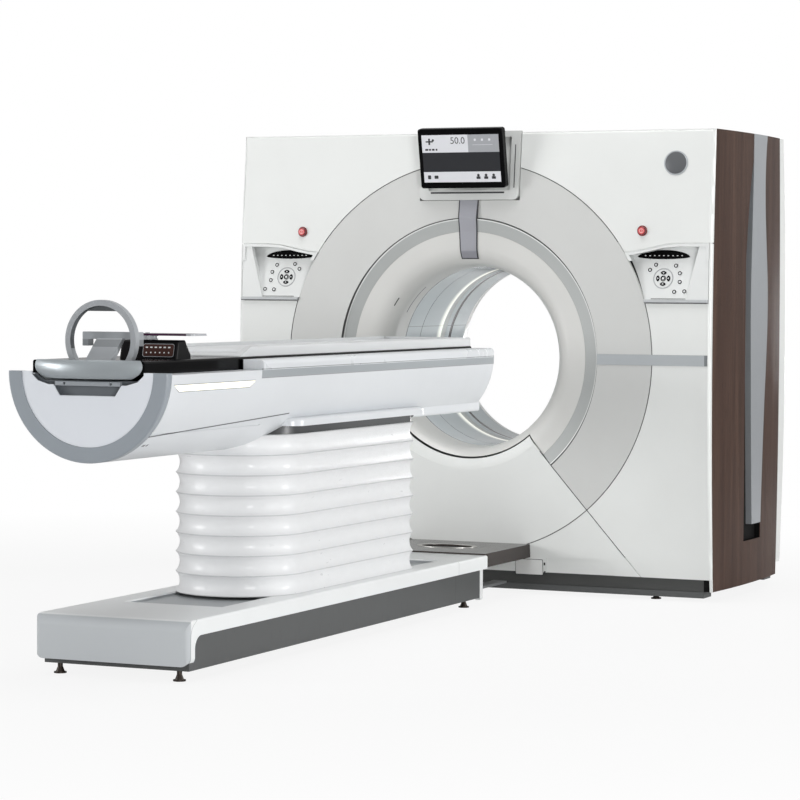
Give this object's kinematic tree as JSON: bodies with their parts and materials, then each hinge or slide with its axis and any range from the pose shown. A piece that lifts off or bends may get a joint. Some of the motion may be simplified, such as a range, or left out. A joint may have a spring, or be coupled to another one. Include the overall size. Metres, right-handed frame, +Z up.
{
  "type": "ct scanner",
  "caption": "Floor-standing computed tomography scanner: gantry with a round patient bore and turning rotor, and a lifting patient table with a sliding cradle.",
  "frame": {"origin": "on the floor, below the middle of the whole machine's length and width", "axes": "+X to the right of someone who faces the bore from the table, +Y along the bore axis from the table into the gantry, +Z up"},
  "size_m": [2.29, 4.4051, 2.0332],
  "materials": {
    "cover_white": "smooth off-white moulded covers, satin gloss",
    "ring_grey": "grey moulded ring, satin",
    "funnel_white": "smooth white moulded funnel",
    "side_wood": "dark brown veneer with a fine upright grain, satin varnish",
    "silver_blade": "pale silver, finely brushed",
    "silver_strip": "silver grey strip, satin",
    "frame_steel": "dark grey powder coat",
    "foot_steel": "black steel feet",
    "bearing_steel": "turned steel",
    "rotor_metal": "cast aluminium",
    "module_paint": "grey paint",
    "liner_plastic": "warm white plastic",
    "window_film": "thin dark translucent film",
    "panel_plastic": "pale grey membrane panel",
    "key_black": "black keys with white marks",
    "stop_red": "red emergency stop heads",
    "display_black": "black framed screen",
    "tongue_light": "pale translucent strip",
    "base_paint": "grey powder coat",
    "bridge_gloss": "glossy dark plate",
    "pedal_metal": "grey lever with a rubber face",
    "bellows_fabric": "grey coated fabric in pleats",
    "column_steel": "ground steel tubes",
    "table_white": "pale moulded shell, satin gloss",
    "end_grey": "grey end ring",
    "rail_grey": "grey side rails",
    "cradle_grey": "dark carbon-fibre shell",
    "tray_white": "white tray",
    "mat_fabric": "soft pale mat",
    "handle_plastic": "pale moulded grip",
    "hoop_metal": "grey coated hoop and bracket",
    "pod_black": "black console",
    "swivel_metal": "thin violet-grey plate",
    "drive_metal": "motor unit"
  },
  "bodies": {
    "gantry_and_base": {"gantry_frame": "frame_steel", "levelling_feet": "foot_steel", "main_bearing": "bearing_steel", "drive_stator": "rotor_metal", "bore_liner": "liner_plastic", "scan_window": "window_film", "front_funnel": "funnel_white", "rear_funnel": "funnel_white", "trim_rings": "ring_grey", "front_top_cover": "cover_white", "front_ring_cover": "cover_white", "front_side_covers": "cover_white", "front_fan_cover": "cover_white", "front_bottom_cover": "cover_white", "rear_cover": "cover_white", "gantry_top_cover": "cover_white", "trim_strips": "silver_strip", "side_panels": "side_wood", "side_blades": "silver_blade", "control_panels": "panel_plastic", "display_housing": "cover_white", "display": "display_black", "indicator_tongue": "tongue_light", "table_base_frame": "base_paint", "table_base_cover": "cover_white", "bridge_plate": "bridge_gloss", "bellows": "bellows_fabric"},
    "rotor": {"rotor_drum": "rotor_metal", "xray_tube": "module_paint", "detector_array": "module_paint", "rotor_modules": "module_paint", "slip_ring": "bearing_steel"},
    "lift_tube_1": {"lift_stage_1": "column_steel"},
    "lift_tube_2": {"lift_stage_2": "column_steel"},
    "table_top": {"lift_inner": "column_steel", "table_shell": "table_white", "table_end_ring": "end_grey", "table_end_cap": "table_white", "table_side_rails": "rail_grey", "saddle_collar": "table_white", "cradle_drive": "drive_metal"},
    "cradle": {"cradle_chassis": "cradle_grey", "cradle_tray": "tray_white", "cradle_mat": "mat_fabric", "end_handle": "handle_plastic", "end_hoop": "hoop_metal", "console_pod": "pod_black"},
    "side_shelf": {"swivel_plate": "swivel_metal"},
    "release_bar": {"end_latch": "rail_grey"},
    "foot_lever": {"foot_pedal": "pedal_metal"},
    "stop_right": {"estop_right": "stop_red"},
    "stop_left": {"estop_left": "stop_red"},
    "key_right_up": {"key_right_up": "key_black"},
    "key_right_down": {"key_right_down": "key_black"},
    "key_right_in": {"key_right_in": "key_black"},
    "key_right_out": {"key_right_out": "key_black"},
    "key_left_up": {"key_left_up": "key_black"},
    "key_left_down": {"key_left_down": "key_black"},
    "key_left_in": {"key_left_in": "key_black"},
    "key_left_out": {"key_left_out": "key_black"}
  },
  "joints": [
    {"name": "rotor_spin", "type": "hinge", "parent": "gantry_and_base", "child": "rotor", "pos_m": [0, 1.651, 1.032], "axis": [0, 1, 0], "continuous": true},
    {"name": "table_lift", "type": "slide", "parent": "gantry_and_base", "child": "table_top", "axis": [0, 0, 1], "range_m": [-0.48, 0], "deforming": ["bellows"]},
    {"name": "lift_tube_1_slide", "type": "slide", "parent": "gantry_and_base", "child": "lift_tube_1", "axis": [0, 0, 1], "range_m": [-0.16, 0]},
    {"name": "lift_tube_2_slide", "type": "slide", "parent": "gantry_and_base", "child": "lift_tube_2", "axis": [0, 0, 1], "range_m": [-0.32, 0]},
    {"name": "cradle_slide", "type": "slide", "parent": "table_top", "child": "cradle", "axis": [0, 1, 0], "range_m": [0, 1.7]},
    {"name": "shelf_swivel", "type": "hinge", "parent": "cradle", "child": "side_shelf", "pos_m": [0.015, -1.769, 1.174], "axis": [0, 0, 1], "range_deg": [-30, 90]},
    {"name": "release_press", "type": "slide", "parent": "table_top", "child": "release_bar", "axis": [0, 1, 0], "range_m": [0, 0.008], "stiffness_N_per_m": 1500, "springref_m": -0.004},
    {"name": "foot_lever_press", "type": "hinge", "parent": "gantry_and_base", "child": "foot_lever", "pos_m": [0.215, 0.652, 0.066], "axis": [-1, 0, 0], "range_deg": [0, 6], "stiffness_Nm_per_rad": 60, "springref_deg": -5.73},
    {"name": "stop_right_press", "type": "slide", "parent": "gantry_and_base", "child": "stop_right", "axis": [0, 1, 0], "range_m": [0, 0.005]},
    {"name": "stop_left_press", "type": "slide", "parent": "gantry_and_base", "child": "stop_left", "axis": [0, 1, 0], "range_m": [0, 0.005]},
    {"name": "key_right_up_press", "type": "slide", "parent": "gantry_and_base", "child": "key_right_up", "axis": [0, 0.9701, -0.2427], "range_m": [0, 0.0015], "stiffness_N_per_m": 500, "springref_m": -0.001},
    {"name": "key_right_down_press", "type": "slide", "parent": "gantry_and_base", "child": "key_right_down", "axis": [0, 0.9701, -0.2427], "range_m": [0, 0.0015], "stiffness_N_per_m": 500, "springref_m": -0.001},
    {"name": "key_right_in_press", "type": "slide", "parent": "gantry_and_base", "child": "key_right_in", "axis": [0, 0.9701, -0.2427], "range_m": [0, 0.0015], "stiffness_N_per_m": 500, "springref_m": -0.001},
    {"name": "key_right_out_press", "type": "slide", "parent": "gantry_and_base", "child": "key_right_out", "axis": [0, 0.9701, -0.2427], "range_m": [0, 0.0015], "stiffness_N_per_m": 500, "springref_m": -0.001},
    {"name": "key_left_up_press", "type": "slide", "parent": "gantry_and_base", "child": "key_left_up", "axis": [0, 0.9701, -0.2427], "range_m": [0, 0.0015], "stiffness_N_per_m": 500, "springref_m": -0.001},
    {"name": "key_left_down_press", "type": "slide", "parent": "gantry_and_base", "child": "key_left_down", "axis": [0, 0.9701, -0.2427], "range_m": [0, 0.0015], "stiffness_N_per_m": 500, "springref_m": -0.001},
    {"name": "key_left_in_press", "type": "slide", "parent": "gantry_and_base", "child": "key_left_in", "axis": [0, 0.9701, -0.2427], "range_m": [0, 0.0015], "stiffness_N_per_m": 500, "springref_m": -0.001},
    {"name": "key_left_out_press", "type": "slide", "parent": "gantry_and_base", "child": "key_left_out", "axis": [0, 0.9701, -0.2427], "range_m": [0, 0.0015], "stiffness_N_per_m": 500, "springref_m": -0.001}
  ],
  "couplings": [
    {"joint": "lift_tube_1_slide", "follows": "table_lift", "ratio": 0.33333},
    {"joint": "lift_tube_2_slide", "follows": "table_lift", "ratio": 0.66667}
  ]
}
